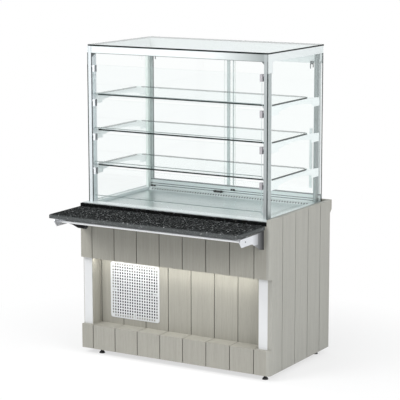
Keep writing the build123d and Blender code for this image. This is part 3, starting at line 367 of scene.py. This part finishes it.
def pane(name, axis, tint, edges, flat_from=FLAT_FROM, open_back=False, crease=None):
    """Clear sheet: faces that tint and reflect a little; each cut edge has its own tone, in which
    light and shade are painted.

    axis is the one that the sheet's faces look along. edges gives (axis, sign, tone) in the order
    in which they are laid over each other; the first one's tone is also that of the rounded
    corners. The tones are the glass's edge colour with painted light, shade and reflection for the
    way each edge faces. flat_from is how square on a face has to be to count as clear. open_back
    leaves the rear edge clear. crease is the height of a bend: it shows as a fine painted line,
    and the undersides below it have the edges' tone.
    """
    m = new_material(name)
    clear = m.node("ShaderNodeBsdfTransparent", {"Color": rgba(tint)})
    shine = m.node("ShaderNodeBsdfGlossy", {"Color": (0.93, 0.96, 0.96, 1.0), "Roughness": 0.02})
    fresnel = m.node("ShaderNodeFresnel", {"IOR": 1.45})
    behind = m.node("ShaderNodeNewGeometry").outputs["Backfacing"]
    outside = m.math("SUBTRACT", 1.0, behind, clamp=True)
    face = m.mix_shaders(m.math("MULTIPLY", fresnel.outputs[0], outside),
                         clear.outputs[0], shine.outputs[0])

    normal = m.parts("Normal")
    col = edges[0][2]
    for which, sign, tone in edges[1:]:
        toward = m.math("MULTIPLY", normal[which], float(sign))
        col = m.mix(m.math("GREATER_THAN", toward, CUT_EDGE_LEAST), col, tone)
    streak = m.ramp(m.noise(m.coords((60, 60, 60)), 1.0, 2.0, 0.5),
                    [(0.3, grey(0.86)), (0.7, grey(1.12))])
    col = m.mix(1.0, col, streak, "MULTIPLY")
    rim = m.surface(col, 0.3, Specular_IOR_Level=0.2)

    flat = m.math("GREATER_THAN", m.math("ABSOLUTE", normal[axis]), flat_from)
    if open_back:
        back = m.math("GREATER_THAN", normal[Y], BACK_EDGE_LEAST)
        flat = m.math("MAXIMUM", flat, back)
    if crease is not None:
        bent = m.near(m.parts("Object")[Z], crease, CREASE_REACH)
        under = m.math("LESS_THAN", normal[Z], UNDERSIDE_MOST)
        flat = m.math("SUBTRACT", flat, m.math("MAXIMUM", bent, under), clamp=True)
    return m.finish(m.mix_shaders(flat, rim, face))


def glow(name, colour, strength):
    """A lit diffuser."""
    m = new_material(name)
    wave = m.noise(m.coords((8, 8, 8)), 1.0, 2.0, 0.5)
    col = m.ramp(wave, [(0.0, tuple(c * 0.96 for c in colour)), (1.0, colour)])
    return m.finish(m.surface(col, 0.5, Emission_Color=col, Emission_Strength=strength))


# Dressing of the solid pieces

TAUPE = lin(158, 156, 147)
STRIP_COLOUR = (1.0, 0.99, 0.95)
STRIP_GLOW = 2.0
FLAP_FLAT_FROM = 0.6
FLAP_LIP = 0.022

# Places and widths of painted shade and shadow strips, in metres
BELOW_DECK = (0.001, 0.006)      # below the deck, where the tub gets painted shade
# WELL_BACK_Y and BELOW_RIM place the painted shade on the well's back wall under the rim
WELL_BACK_Y = 0.420
BELOW_RIM = (0.003, 0.004)
TOP_RAIL_H = 0.040
DARK_STRIP = 0.003               # painted shadow line along the front rail's lower and the sill's upper edge
STRIP_BLUR = 0.0004
SILL_GROOVES = (0.001, 0.002)    # painted shade in the grooves behind the sill's front
POST_STRIP = 0.009               # painted shadow at the front of a post's right face
POST_BLUR = 0.0005

# Where the painted light, shade and reflection of a piece starts and ends to change from one end
# to the other, in metres
POST_SHADE_X = (0.0, 0.3)
RAIL_SHADE_X = (0.22, 0.52)
CLAMP_SHADE_X = (0.0, 0.05)
TRIM_SHADE_X = (0.30, 0.35)
ARM_SHADE_Y = (-0.345, -0.245)
BRACKET_SHADE_Y = (-0.300, -0.225)
BRACKET_SHADE_X = (0.1, -0.1)


def dress(material, *names):
    for name in names:
        ob = nodes[name]
        ob.data.materials.clear()
        ob.data.materials.append(material)


def dress_boards():
    front_groove = (Y, front_y + GROOVE_DEPTH)
    # The one laminate is given slightly different tones on the front, plinth, recess and end:
    # painted light and shade for how each face is lit.
    dress(laminate("laminate_front", TAUPE, 1.0, front_groove), "upper_cladding")
    dress(laminate("laminate_plinth", lin(154, 152, 144), 1.0, front_groove), "plinth")
    dress(laminate("laminate_recess", lin(153, 151, 142), 3.0, (Y, recess_y + GROOVE_DEPTH)),
          "recess_panel")
    dress(laminate("laminate_end", lin(162, 161, 154), 5.0, (X, outer_x - GROOVE_DEPTH)),
          "end_cladding")
    dress(laminate("laminate_plain", TAUPE, 7.0),
          "rear_apron", "return_boards", "side_skins", "rear_panel")
    dress(stone("stone_tray", 0.6, lin(96, 99, 99)), "tray")
    dress(stone("stone_top", 0.85, lin(10, 11, 11)), "worktop")


def dress_metalwork():
    """The well, the shelf arms and clamps, the tray's metal and the painted pieces."""
    # Painted shade: the tub turns dark below the deck, and the back wall's front faces under the
    # rim are dark where the air strip's slots show them.
    shade_below_deck = along(Z, deck_z - BELOW_DECK[0], deck_z - BELOW_DECK[1])
    back_wall_shade = where(FRONT_FACES, along(Y, WELL_BACK_Y, WELL_BACK_Y + 0.001),
                      along(Z, rim_z - BELOW_RIM[0], rim_z - BELOW_RIM[1]))
    dress(steel("stainless_well", lin(215, 222, 222), 0.30, ALONG_X, SATIN,
                [(shade_below_deck, lin(26, 28, 28)), (back_wall_shade, lin(30, 33, 33))]), "well_liner")
    dress(steel("stainless_strip", lin(196, 203, 203), 0.34, ALONG_X, SATIN), "air_strip")
    dress(steel("stainless_deck", lin(190, 199, 199), 0.30), "deck")
    # The arms' undersides are a darker grey: painted shade.
    dress(steel("satin_arms", lin(240, 244, 244), 0.42, ALONG_X, SATIN,
                [(UNDERSIDES, lin(206, 214, 214))]), "shelf_arms")
    # Painted shade on the clamps' left and right faces; the right-hand clamps are painted a mid
    # grey where they take less light.
    clamp_side_shade = lin(96, 98, 102)
    dress(steel("satin_clamps", lin(232, 236, 239), 0.36, UPRIGHT, SATIN,
                [(RIGHT_FACES, clamp_side_shade), (LEFT_FACES, clamp_side_shade),
                 (along(X, *CLAMP_SHADE_X), lin(172, 169, 173))]),
          "flap_clamps_1", "flap_clamps_2", "flap_clamps_3", "flap_clamps_4")
    dress(steel("tube_steel", lin(236, 238, 240), 0.30, ALONG_X_COARSE, 0.5), "tray_tube")
    dress(paint("white_coat", lin(210, 211, 212)), "corner_covers")
    dress(paint("grille_coat", lin(203, 205, 206)), "grille")
    # The frame and floor pan are dark grey so that they read as shade through the grille: painted
    # shade.
    dress(paint("frame_coat", lin(96, 98, 99), 0.5, shine=0.3), "base_frame", "floor_pan")
    dress(paint("plate_coat", lin(70, 72, 73), 0.6), "unit_plate")
    # Painted shade: the tray arms darken towards the wall.
    dress(steel("bracket_coat", lin(214, 216, 220), 0.32, ALONG_X, SATIN,
                [(along(Y, *ARM_SHADE_Y), lin(84, 86, 88))]), "tray_arms")
    # Painted shade: the wall brackets darken towards the wall and on the left-hand bracket.
    dress(steel("wall_bracket_coat", lin(136, 137, 139), 0.45, UPRIGHT, SATIN,
                [(along(Y, *BRACKET_SHADE_Y), lin(66, 67, 69)),
                 (along(X, *BRACKET_SHADE_X), lin(52, 52, 54))]), "tray_wall_brackets")


def dress_frame():
    """Posts, rails, sill, header and the doors' profiles.

    The posts and the front rail are light at the left and grey at the right, and the doors'
    profiles the other way round: painted light and reflection. Most have a painted shadow strip
    or an underside with painted shade.
    """
    # Painted reflection and shade: the posts turn grey towards the right, and a painted shadow
    # strip runs down the front of each post's right face.
    shade_toward_right = along(X, *POST_SHADE_X)
    strip_end = post_y + POST_STRIP
    post_shadow_strip = where(RIGHT_FACES, along(Y, strip_end + POST_BLUR, strip_end - POST_BLUR))
    dress(steel("post_metal", lin(214, 220, 223), 0.40, UPRIGHT, SATIN,
                [(shade_toward_right, lin(166, 172, 173)), (post_shadow_strip, lin(50, 54, 54))]),
          "front_posts")
    dress(steel("rear_post_metal", lin(222, 230, 226), 0.40, UPRIGHT, SATIN,
                [(shade_toward_right, lin(136, 144, 144))]), "rear_posts")

    # Painted reflection greys the rail's front towards the right; a painted shadow line runs along
    # its lower edge, and its underside has painted shade.
    strip_end = header_high.z - TOP_RAIL_H + DARK_STRIP
    rail_shadow_strip = where(FRONT_FACES, along(Z, strip_end + STRIP_BLUR, strip_end - STRIP_BLUR))
    rail_shade_grey = lin(120, 126, 126)
    dress(steel("rail_metal", lin(224, 230, 230), 0.40, ALONG_X, SATIN,
                [(where(FRONT_FACES, along(X, *RAIL_SHADE_X)), lin(150, 157, 157)),
                 (rail_shadow_strip, rail_shade_grey), (UNDERSIDES, rail_shade_grey)]), "top_frame")

    # Painted shade in the sill's grooves and on its underside, and a painted shadow line along its
    # upper edge.
    sill_groove_shade = where(FRONT_FACES, along(Y, sill_low.y + SILL_GROOVES[0],
                                            sill_low.y + SILL_GROOVES[1]))
    strip_end = sill_high.z - DARK_STRIP
    sill_shadow_strip = where(FRONT_FACES, along(Z, strip_end - STRIP_BLUR, strip_end + STRIP_BLUR))
    dress(steel("sill_metal", lin(202, 209, 209), 0.34, ALONG_X, SATIN,
                [(sill_groove_shade, lin(58, 64, 64)), (sill_shadow_strip, lin(92, 98, 98)),
                 (UNDERSIDES, lin(60, 64, 64))]), "rear_sill")

    # The header's underside has painted shade.
    dress(steel("header_metal", lin(214, 220, 220), 0.34, ALONG_X, SATIN,
                [(UNDERSIDES, lin(84, 88, 88))]), "door_header")
    # Painted shade on the profiles' side faces, and painted light that makes them paler towards
    # the right.
    trim_side_shade = lin(84, 90, 90)
    dress(steel("door_trim", lin(192, 198, 198), 0.3, UPRIGHT, SATIN,
                [(RIGHT_FACES, trim_side_shade), (LEFT_FACES, trim_side_shade),
                 (along(X, *TRIM_SHADE_X), lin(232, 236, 236))]),
          "door_left_trim", "door_right_trim")


def dress_panes():
    # Each edge's tone is painted light, shade and reflection for the way it faces; the shelves'
    # pale rounded corners are a painted highlight.
    dress(pane("glass_top", Z, GLASS, [(Y, -1, INK), (X, 1, INK), (X, -1, DEEP), (Y, 1, MIST)]),
          "top_pane")
    dress(pane("glass_shelf", Z, GLASS,
               [(Z, 0, PALE), (Y, -1, INK), (X, 1, DEEP), (X, -1, MIST)], open_back=True),
          "shelves")
    dress(pane("glass_side", X, GLASS, [(Y, 1, PALE), (Y, -1, DEEP), (Z, 1, DEEP), (Z, -1, MIST)]),
          "side_panes")
    dress(pane("glass_door", Y, GLASS, [(Z, 1, MIST), (X, 1, PALE), (X, -1, PALE)]),
          "door_left", "door_right")
    flap_side = lin(206, 222, 222)
    flap_edges = [(Z, 0, lin(146, 158, 157)), (Z, 1, lin(190, 206, 205)),
                  (X, 1, flap_side), (X, -1, flap_side)]
    for flap in ("flap_1", "flap_2", "flap_3", "flap_4"):
        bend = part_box(flap)[0].z + FLAP_LIP
        dress(pane("acrylic_" + flap, Y, ACRYLIC, flap_edges, FLAP_FLAT_FROM, crease=bend), flap)


def dress_unit():
    """Plastics, the recess light and what is inside the base."""
    dress(paint("black_plastic", lin(28, 28, 29), 0.5), "foot_front_left", "foot_front_right",
          "foot_rear_left", "foot_rear_right", "condenser_fan", "evaporator_fan",
          "condenser_shroud", "evaporator_shroud", "rocker_switch", "power_inlet", "compressor")
    dress(glow("strip_light", STRIP_COLOUR, STRIP_GLOW), "recess_light")
    dress(paint("foam", lin(222, 208, 160), 0.9, 0.2), "well_foam")
    dress(steel("coil_metal", lin(205, 207, 208), 0.35, FINNED), "evaporator")
    dress(paint("condenser_coat", lin(34, 35, 36), 0.55, shine=0.2), "condenser")
    dress(steel("copper", lin(200, 130, 95), 0.3), "refrigerant_pipes")
    dress(paint("box_coat", lin(80, 82, 84), 0.4), "electrical_box", "thermostat_face")


# Small fittings, in metres

SHARP_EDGE = 35                  # degrees
RING_STEPS = 24

# A screw's head: distances from its axis as shares of its radius, heights as shares of its own
HEAD_PROFILE = ((0, 0.35), (0.38, 0.35), (0.42, 0.95), (0.62, 0.97), (0.86, 0.72), (1, 0.30))
HEAD_HEIGHT = 0.55               # share of its radius
HEAD_SINK = 0.0004
FLANGE_SCREW_R = 0.0048
FLANGE_SCREWS = ((0.547, -0.0546), (0.5745, -0.0600),      # distance from the middle, y
                 (0.547, 0.2600), (0.5745, 0.2600))
ARM_SCREW_R = 0.0042

PROBE_LEFT, PROBE_RIGHT = -0.124, -0.058
PROBE_GAP = 0.0062               # from the sill and from the rim to the probe's axis
PROBE_CLIPS_X = (PROBE_LEFT + 0.010, PROBE_RIGHT - 0.016)
PROBE_CLIP_W = 0.007
MIDDLE_STOPS_X = (-0.009, 0.006)
MIDDLE_STOP_W = 0.010
END_STOPS_X = (0.026, 0.044)     # from the sill's left end
END_STOP_W = 0.009
HEADER_CLIP_X = 0.512            # from the middle
HEADER_CLIP_BACK, HEADER_CLIP_FRONT = 0.0001, 0.0031       # before the header's face

# Outlines: (along, up) from the probe's axis, for the stops from the lower edge of the sill's
# front, and for the clips from the header's lower edge
PROBE_CLIP = ((-0.0062, -0.0062), (-0.0062, 0.0040), (-0.0030, 0.0064),
              (0.0030, 0.0064), (0.0060, 0.0040), (0.0060, -0.0062))
MIDDLE_STOP = ((-0.0008, 0.016), (-0.0070, 0.018), (-0.0084, 0.024), (-0.0008, 0.028))
END_STOP = ((-0.0010, 0), (-0.0100, 0), (-0.0100, 0.004), (-0.0045, 0.009), (-0.0010, 0.009))
HEADER_CLIP = ((-0.0105, 0.012), (-0.0105, -0.031), (-0.0060, -0.031), (-0.0060, -0.006),
               (0.0060, -0.006), (0.0060, -0.024), (0.0105, -0.024), (0.0105, 0.012))


def piece(name, bm, material, body="case"):
    """Turns a bmesh into a piece that rides on a body."""
    bmesh.ops.recalc_face_normals(bm, faces=bm.faces)
    mesh = bpy.data.meshes.new(name)
    bm.to_mesh(mesh)
    bm.free()
    for face in mesh.polygons:
        face.use_smooth = True
    ob = bpy.data.objects.new(name, mesh)
    scene.collection.objects.link(ob)
    mesh.materials.append(material)
    edges = ob.modifiers.new("edges", "EDGE_SPLIT")
    edges.split_angle = math.radians(SHARP_EDGE)
    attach(ob, body)


def turned(bm, profile, centre, axis):
    """Revolves (radius, height) points about an axis through centre."""
    along_axis = Vector(axis).normalized()
    side = along_axis.orthogonal().normalized()
    other = along_axis.cross(side)
    rings = []
    for radius, height in profile:
        middle = Vector(centre) + along_axis * height
        if radius == 0:
            rings.append([bm.verts.new(middle)])
            continue
        ring = []
        for i in range(RING_STEPS):
            angle = 2 * math.pi * i / RING_STEPS
            out = side * math.cos(angle) + other * math.sin(angle)
            ring.append(bm.verts.new(middle + out * radius))
        rings.append(ring)
    for one, two in zip(rings, rings[1:]):
        for i in range(RING_STEPS):
            corners = (one[i % len(one)], one[(i + 1) % len(one)],
                       two[(i + 1) % len(two)], two[i % len(two)])
            bm.faces.new([v for n, v in enumerate(corners) if v not in corners[:n]])


def extruded(bm, outline, low, high, axis, bevel):
    """A prism of the outline from low to high along an axis, with softened edges."""
    def point(a, b, c):
        return {X: (c, a, b), Y: (a, c, b), Z: (a, b, c)}[axis]
    first = [bm.verts.new(point(a, b, low)) for a, b in outline]
    last = [bm.verts.new(point(a, b, high)) for a, b in outline]
    made = [bm.faces.new(first), bm.faces.new(last)]
    for i in range(len(outline)):
        j = (i + 1) % len(outline)
        made.append(bm.faces.new((first[i], first[j], last[j], last[i])))
    edges = {e for f in made for e in f.edges}
    bmesh.ops.bevel(bm, geom=list(edges), offset=bevel, segments=2, profile=0.7, affect="EDGES")


def moved(outline, across, up):
    return [(across + a, up + b) for a, b in outline]


def screw_head(bm, centre, axis, radius):
    """A low domed head with a round socket."""
    height = radius * HEAD_HEIGHT
    profile = [(radius * out, height * up) for out, up in HEAD_PROFILE]
    turned(bm, profile + [(radius, -HEAD_SINK)], centre, axis)


def make_probe(material):
    """A thin probe on two clips, in front of the rear sill."""
    bm = bmesh.new()
    y, z = sill_low.y - PROBE_GAP, rim_z + PROBE_GAP
    length = PROBE_RIGHT - PROBE_LEFT
    profile = [(0, 0), (0.0028, 0.0004), (0.0042, 0.0022), (0.0046, 0.006),
               (0.0046, length - 0.008), (0.0036, length - 0.004), (0.0022, length)]
    turned(bm, profile, (PROBE_LEFT, y, z), (1, 0, 0))
    for x in PROBE_CLIPS_X:
        extruded(bm, moved(PROBE_CLIP, y, z), x, x + PROBE_CLIP_W, X, bevel=0.0008)
    piece("air_probe", bm, material)


def make_stops(material):
    """Two door stops at the middle of the sill and two at its left end."""
    bm = bmesh.new()
    for x in MIDDLE_STOPS_X:
        outline = moved(MIDDLE_STOP, sill_low.y, rim_z)
        extruded(bm, outline, x, x + MIDDLE_STOP_W, X, bevel=0.0007)
    for from_end in END_STOPS_X:
        x = sill_low.x + from_end
        outline = moved(END_STOP, sill_low.y, rim_z)
        extruded(bm, outline, x, x + END_STOP_W, X, bevel=0.0007)
    piece("sill_stops", bm, material)


def make_clips(material, middle):
    """Two bent clips on the header's front face."""
    bm = bmesh.new()
    for side in (-1, 1):
        outline = moved(HEADER_CLIP, middle + side * HEADER_CLIP_X, header_low.z)
        extruded(bm, outline, header_low.y - HEADER_CLIP_FRONT, header_low.y - HEADER_CLIP_BACK,
                 Y, bevel=0.0006)
    piece("header_clips", bm, material)


def make_flange_screws(material, middle):
    bm = bmesh.new()
    for side in (-1, 1):
        for out, y in FLANGE_SCREWS:
            screw_head(bm, (middle + side * out, y, rim_z), (0, 0, 1), FLANGE_SCREW_R)
    piece("flange_screws", bm, material)


def make_arm_screws(material):
    """A screw on the outside of each tray arm, at the ends of the front tube."""
    bm = bmesh.new()
    arm_low, arm_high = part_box("tray_arms")
    tube_low, tube_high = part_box("tray_tube")
    y = (tube_low.y + tube_high.y) / 2
    z = (tube_low.z + tube_high.z) / 2
    screw_head(bm, (arm_high.x, y, z), (1, 0, 0), ARM_SCREW_R)
    screw_head(bm, (arm_low.x, y, z), (-1, 0, 0), ARM_SCREW_R)
    piece("arm_screws", bm, material, "tray_slide")


def make_fittings():
    black = paint("fitting_black", lin(22, 23, 24), 0.5, shine=0.2)
    bright = steel("fitting_steel", lin(190, 196, 197), 0.3, UPRIGHT, 0.6)
    dark = steel("fitting_dark", lin(112, 117, 118), 0.35, UPRIGHT, 0.4)
    middle = (sill_low.x + sill_high.x) / 2
    make_probe(black)
    make_stops(black)
    make_clips(dark, middle)
    make_flange_screws(bright, middle)
    make_arm_screws(dark)


# Stage and light

FLOOR_SIZE = 14.0
SHADOW_END = (0.75, 1.7)         # metres from the middle between which the floor turns to white
WHITE_NEAR = 0.66                # share of plain white in the floor nearer than that
SKY_COLOUR = (0.96, 0.98, 1.0)
SKY_STRENGTH = 0.55
LIGHTS = (("key", (-2.6, -4.2, 4.6), 3.2, 256),            # name, place, side, power
          ("fill", (4.8, -2.0, 3.0), 3.0, 150))
AIM = (0, 0, 0.8)
STRIP_INSET = 0.02
STRIP_POWER = 1.22
SEE_THROUGH_LAYERS = 40          # the case is seen through many panes, each with two faces


def make_stage():
    """A floor that takes the shadow near the object and is plain white further off."""
    mesh = bpy.data.meshes.new("floor")
    bm = bmesh.new()
    bmesh.ops.create_grid(bm, x_segments=2, y_segments=2, size=FLOOR_SIZE)
    bm.to_mesh(mesh)
    bm.free()
    floor = bpy.data.objects.new("floor", mesh)
    scene.collection.objects.link(floor)
    m = new_material("floor")
    lit = m.surface(rgba(grey(0.9)), 0.9, Specular_IOR_Level=0.0)
    white = m.node("ShaderNodeEmission", {"Strength": 1.0})
    place = m.node("ShaderNodeTexCoord").outputs["Object"]
    away = m.node("ShaderNodeVectorMath", {0: place}, operation="LENGTH").outputs["Value"]
    far = m.span(away, *SHADOW_END, low=WHITE_NEAR)
    fac = m.math("MULTIPLY", far, m.seen(), clamp=True)
    floor.data.materials.append(m.finish(m.mix_shaders(fac, lit, white.outputs[0])))


def make_world():
    """Soft light from all sides; white where it is seen."""
    world = bpy.data.worlds.new("world")
    scene.world = world
    w = Nodes(world, "ShaderNodeOutputWorld")
    light = w.node("ShaderNodeBackground", {"Color": rgba(SKY_COLOUR), "Strength": SKY_STRENGTH})
    white = w.node("ShaderNodeBackground", {"Color": rgba(grey(1.0)), "Strength": 1.0})
    w.finish(w.mix_shaders(w.seen(), light.outputs[0], white.outputs[0]))


def area(name, place, size, size_y, power, colour=grey(1), target=None):
    """A rectangular light; without a target it looks straight down."""
    data = bpy.data.lights.new(name, "AREA")
    data.shape = "RECTANGLE"
    data.size = size
    data.size_y = size_y
    data.energy = power
    data.color = colour
    ob = bpy.data.objects.new(name, data)
    ob.location = place
    if target:
        ob.rotation_mode = "QUATERNION"
        aim = Vector(target) - Vector(place)
        ob.rotation_quaternion = aim.to_track_quat("-Z", "Y")
    scene.collection.objects.link(ob)


def make_lights():
    for name, place, side, power in LIGHTS:
        area(name, place, side, side, power, target=AIM)
    low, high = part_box("recess_light")
    area("recess_strip", ((low.x + high.x) / 2, (low.y + high.y) / 2, low.z - 0.001),
         high.x - low.x - STRIP_INSET, high.y - low.y, STRIP_POWER, STRIP_COLOUR)


dress_boards()
dress_metalwork()
dress_frame()
dress_panes()
dress_unit()
make_camera()
make_fittings()
make_world()
make_stage()
make_lights()
scene.view_settings.view_transform = "Standard"
scene.cycles.transparent_max_bounces = SEE_THROUGH_LAYERS
